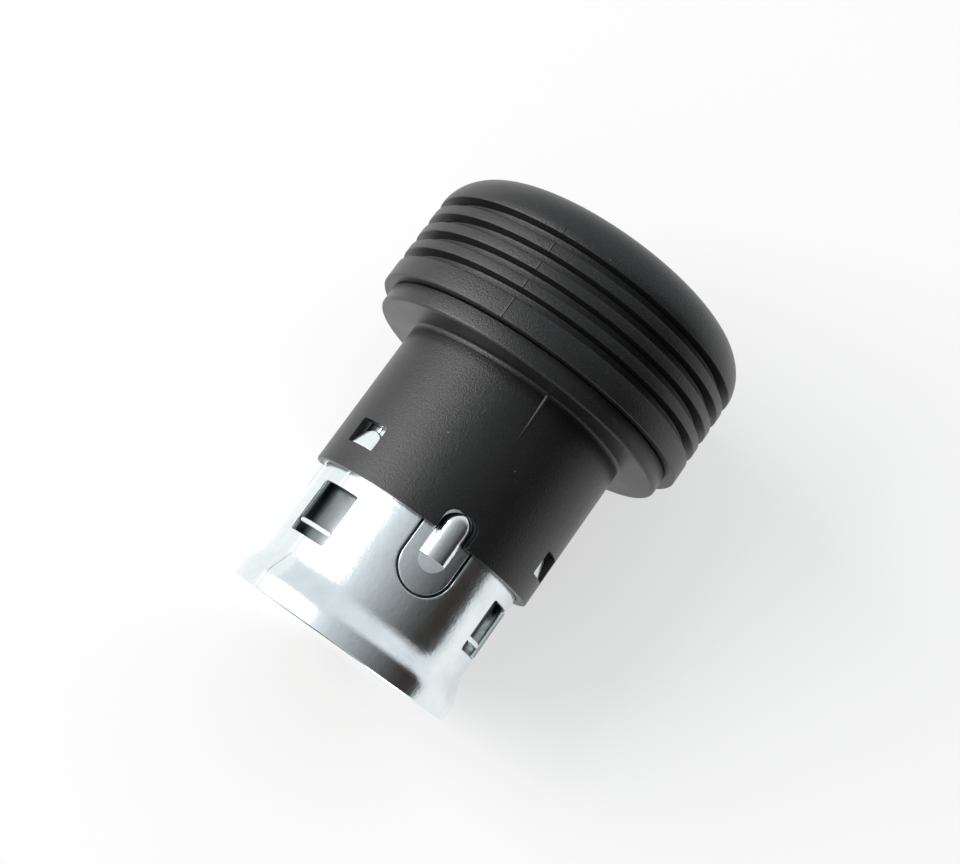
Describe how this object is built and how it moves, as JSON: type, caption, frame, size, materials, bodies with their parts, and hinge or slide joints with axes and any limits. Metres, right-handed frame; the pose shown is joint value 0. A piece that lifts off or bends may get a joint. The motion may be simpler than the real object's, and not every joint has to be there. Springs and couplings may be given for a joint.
{
  "type": "car cigarette lighter plug",
  "caption": "Pull-out car cigarette lighter: black ribbed domed knob and flanged barrel over a plated sheet sleeve with spring fingers, a sprung guard sleeve and a heating element.",
  "frame": {"origin": "centre of the mouth rim, on the surface the lighter stands on", "axes": "+Z along the axis from the mouth to the knob; the first spring finger faces -Y"},
  "size_m": [0.0324, 0.0324, 0.0434],
  "materials": {
    "knob_plastic": "black moulded plastic with a fine satin grain",
    "shank_plastic": "black moulded plastic, matte",
    "plated_sheet": "bright plated rolled sheet steel",
    "guard_sheet": "plain sheet steel",
    "spring_steel": "drawn spring wire",
    "plated_small": "zinc plated",
    "cup_sheet": "heat dulled sheet steel",
    "coil_alloy": "oxidised heating ribbon",
    "ceramic": "off-white fired insulator",
    "mica": "pressed mica"
  },
  "bodies": {
    "housing": {"knob": "knob_plastic", "shank": "shank_plastic", "contact_sleeve": "plated_sheet", "return_spring": "spring_steel", "spring_seat": "plated_small", "stem": "plated_small", "stem_nut": "plated_small", "lock_washer": "spring_steel", "coil_cup": "cup_sheet", "heating_coil": "coil_alloy", "ceramic_disc": "ceramic", "mica_washer": "mica", "insulating_bush": "ceramic", "clamp_plate": "plated_small"},
    "guard": {"guard_sleeve": "guard_sheet"}
  },
  "joints": [
    {"name": "guard_slide", "type": "slide", "parent": "housing", "child": "guard", "axis": [0, 0, 1], "range_m": [0, 0.0036], "stiffness_N_per_m": 300, "springref_m": -0.004, "deforming": ["return_spring"]}
  ]
}
